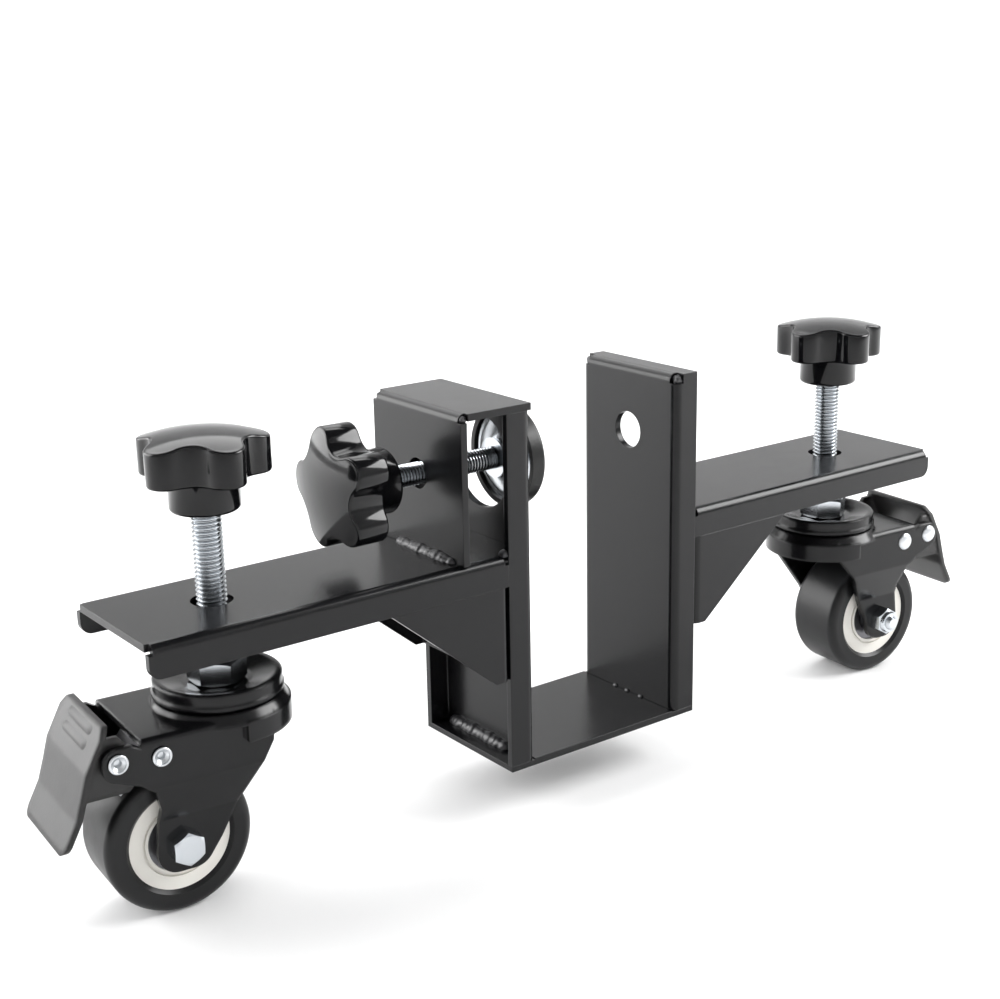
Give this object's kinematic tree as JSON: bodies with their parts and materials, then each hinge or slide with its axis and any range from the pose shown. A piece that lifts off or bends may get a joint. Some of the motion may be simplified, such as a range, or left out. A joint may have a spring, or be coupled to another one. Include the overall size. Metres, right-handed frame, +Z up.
{
  "type": "door dolly",
  "caption": "Black steel cradle that clamps the foot of a door and rolls on braked swivel casters, with a lobed clamp knob and a lobed height screw over each caster.",
  "frame": {"origin": "on the floor under the middle of the cradle's base plate", "axes": "+X along the arms, away from the clamp knob; +Y across the arms, through the door slot; +Z up"},
  "size_m": [0.4132, 0.053, 0.1561],
  "materials": {
    "black_steel": "satin black powder coat",
    "caster_black": "semi-gloss black coating",
    "pedal_black": "semi-gloss black coating",
    "knob_plastic": "polished black plastic",
    "zinc_steel": "bright zinc plating",
    "brake_steel": "plain pressed steel",
    "bearing_steel": "ground steel with dark shields",
    "pad_rubber": "matte black rubber",
    "core_plastic": "off-white moulded plastic",
    "tyre_rubber": "matte black polyurethane"
  },
  "bodies": {
    "frame": {"base_plate": "black_steel", "left_upright": "black_steel", "right_upright": "black_steel", "left_arm": "black_steel", "right_arm": "black_steel", "left_gusset": "black_steel", "right_gusset": "black_steel", "clamp_box": "black_steel", "left_lift_nut": "black_steel", "right_lift_nut": "black_steel", "clamp_nut": "black_steel"},
    "clamp_pad": {"clamp_cup": "zinc_steel", "clamp_pad": "pad_rubber"},
    "clamp_screw": {"clamp_knob": "knob_plastic", "clamp_screw": "zinc_steel", "clamp_clip": "zinc_steel"},
    "left_lift": {"left_swivel_balls": "bearing_steel"},
    "left_screw": {"left_lift_knob": "knob_plastic", "left_lift_screw": "zinc_steel", "left_stem_nut": "zinc_steel", "left_swivel_cap": "caster_black", "left_swivel_washer": "zinc_steel"},
    "left_swivel": {"left_fork": "caster_black", "left_pedal_pin": "zinc_steel", "left_brake_pin": "zinc_steel", "left_axle_bolt": "zinc_steel", "left_axle_nut": "zinc_steel", "left_axle_sleeve": "zinc_steel", "left_bearing_cones": "bearing_steel"},
    "left_wheel": {"left_tyre": "tyre_rubber", "left_wheel_core": "core_plastic", "left_bearing_cups": "bearing_steel", "left_bearing_balls": "bearing_steel"},
    "left_pedal": {"left_pedal": "pedal_black"},
    "left_shoe": {"left_brake_shoe": "brake_steel"},
    "right_lift": {"right_swivel_balls": "bearing_steel"},
    "right_screw": {"right_lift_knob": "knob_plastic", "right_lift_screw": "zinc_steel", "right_stem_nut": "zinc_steel", "right_swivel_cap": "caster_black", "right_swivel_washer": "zinc_steel"},
    "right_swivel": {"right_fork": "caster_black", "right_pedal_pin": "zinc_steel", "right_brake_pin": "zinc_steel", "right_axle_bolt": "zinc_steel", "right_axle_nut": "zinc_steel", "right_axle_sleeve": "zinc_steel", "right_bearing_cones": "bearing_steel"},
    "right_wheel": {"right_tyre": "tyre_rubber", "right_wheel_core": "core_plastic", "right_bearing_cups": "bearing_steel", "right_bearing_balls": "bearing_steel"},
    "right_pedal": {"right_pedal": "pedal_black"},
    "right_shoe": {"right_brake_shoe": "brake_steel"}
  },
  "joints": [
    {"name": "clamp_slide", "type": "slide", "parent": "frame", "child": "clamp_pad", "axis": [1, 0, 0], "range_m": [-0.0066, 0.0126]},
    {"name": "clamp_turn", "type": "hinge", "parent": "clamp_pad", "child": "clamp_screw", "pos_m": [-0.06, 0, 0.127], "axis": [1, 0, 0], "range_deg": [-1911, 3639]},
    {"name": "left_lift_slide", "type": "slide", "parent": "frame", "child": "left_lift", "axis": [0, 0, 1], "range_m": [-0.03, 0.008]},
    {"name": "left_screw_turn", "type": "hinge", "parent": "left_lift", "child": "left_screw", "pos_m": [-0.144, 0, 0.1], "axis": [0, 0, 1], "range_deg": [-7210, 1930]},
    {"name": "left_swivel_turn", "type": "hinge", "parent": "left_lift", "child": "left_swivel", "pos_m": [-0.144, 0, 0.06], "axis": [0, 0, 1], "continuous": true},
    {"name": "left_wheel_spin", "type": "hinge", "parent": "left_swivel", "child": "left_wheel", "pos_m": [-0.16493, 0.00168, 0.025], "axis": [-0.0802, -0.9968, 0], "continuous": true},
    {"name": "left_pedal_press", "type": "hinge", "parent": "left_swivel", "child": "left_pedal", "pos_m": [-0.18616, 0.00339, 0.0609], "axis": [-0.0802, -0.9968, 0], "range_deg": [0, 18]},
    {"name": "left_shoe_press", "type": "hinge", "parent": "left_swivel", "child": "left_shoe", "pos_m": [-0.17221, 0.00227, 0.0599], "axis": [-0.0802, -0.9968, 0], "range_deg": [0, 4.6]},
    {"name": "right_lift_slide", "type": "slide", "parent": "frame", "child": "right_lift", "axis": [0, 0, 1], "range_m": [-0.03, 0.008]},
    {"name": "right_screw_turn", "type": "hinge", "parent": "right_lift", "child": "right_screw", "pos_m": [0.144, 0, 0.1], "axis": [0, 0, 1], "range_deg": [-7210, 1930]},
    {"name": "right_swivel_turn", "type": "hinge", "parent": "right_lift", "child": "right_swivel", "pos_m": [0.144, 0, 0.06], "axis": [0, 0, 1], "continuous": true},
    {"name": "right_wheel_spin", "type": "hinge", "parent": "right_swivel", "child": "right_wheel", "pos_m": [0.16493, -0.00168, 0.025], "axis": [0.0802, 0.9968, 0], "continuous": true},
    {"name": "right_pedal_press", "type": "hinge", "parent": "right_swivel", "child": "right_pedal", "pos_m": [0.18616, -0.00339, 0.0609], "axis": [0.0802, 0.9968, 0], "range_deg": [0, 18]},
    {"name": "right_shoe_press", "type": "hinge", "parent": "right_swivel", "child": "right_shoe", "pos_m": [0.17221, -0.00227, 0.0599], "axis": [0.0802, 0.9968, 0], "range_deg": [0, 4.6]}
  ],
  "couplings": [
    {"joint": "clamp_turn", "follows": "clamp_slide", "rad_per_m": 5026.5},
    {"joint": "left_screw_turn", "follows": "left_lift_slide", "rad_per_m": 4188.8},
    {"joint": "left_shoe_press", "follows": "left_pedal_press", "ratio": 0.25},
    {"joint": "right_screw_turn", "follows": "right_lift_slide", "rad_per_m": 4188.8},
    {"joint": "right_shoe_press", "follows": "right_pedal_press", "ratio": 0.25}
  ]
}
